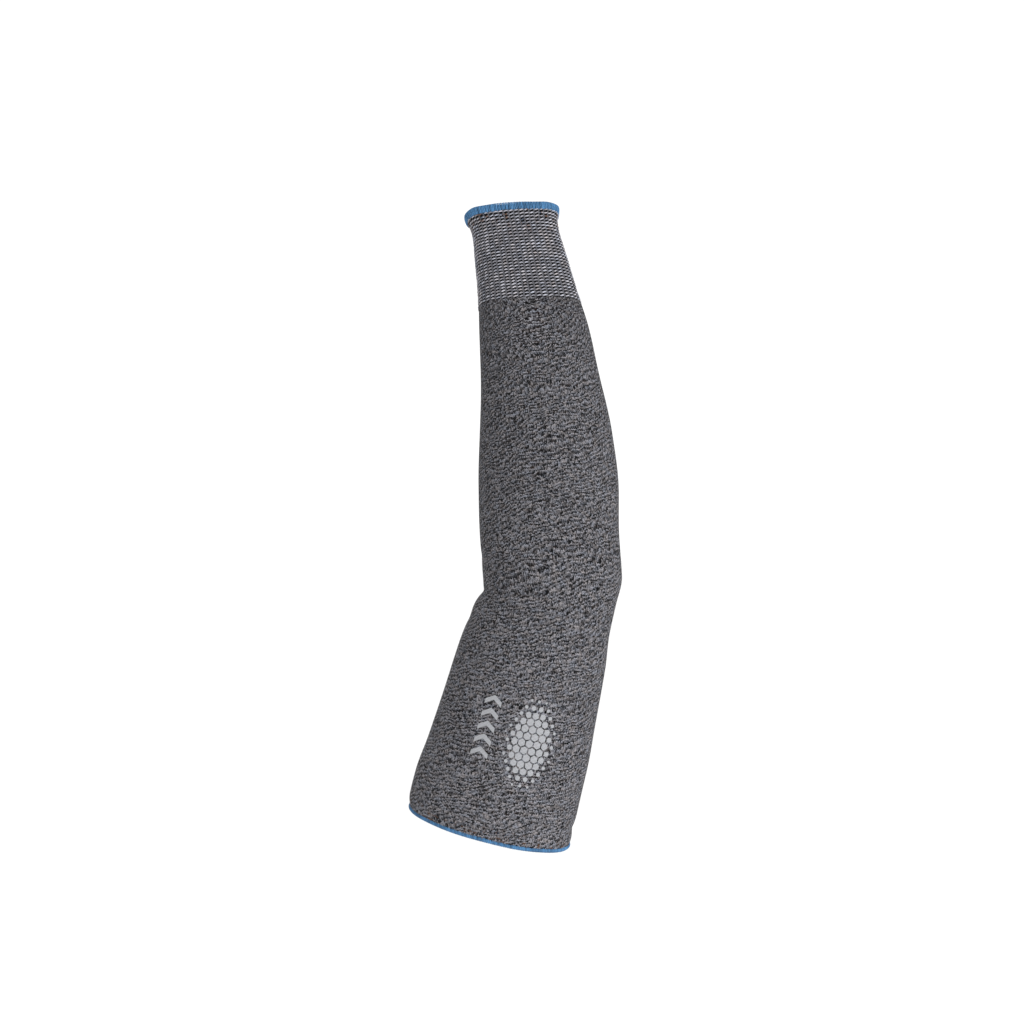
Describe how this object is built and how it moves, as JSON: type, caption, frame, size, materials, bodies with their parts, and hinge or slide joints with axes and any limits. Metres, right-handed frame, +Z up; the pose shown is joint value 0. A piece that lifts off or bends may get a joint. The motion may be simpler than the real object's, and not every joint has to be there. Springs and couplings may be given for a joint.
{
  "type": "cut resistant sleeve",
  "caption": "Knitted tube for the arm in its worn shape, open at both ends, slightly bent at the elbow, with a ribbed wrist cuff and overlocked edges.",
  "frame": {"origin": "middle of the upper-arm opening", "axes": "+Z up towards the wrist, +X towards the point of the elbow, -Y the front"},
  "size_m": [0.1488, 0.1126, 0.4539],
  "materials": {
    "body_knit": "heather grey plain knit",
    "cuff_knit": "grey and black dashed knit",
    "hem_yarn": "blue overlock yarn"
  },
  "bodies": {
    "root": {"arm_tube": "body_knit", "wrist_cuff": "cuff_knit", "wrist_hem": "hem_yarn", "upper_arm_hem": "hem_yarn"}
  },
  "joints": []
}
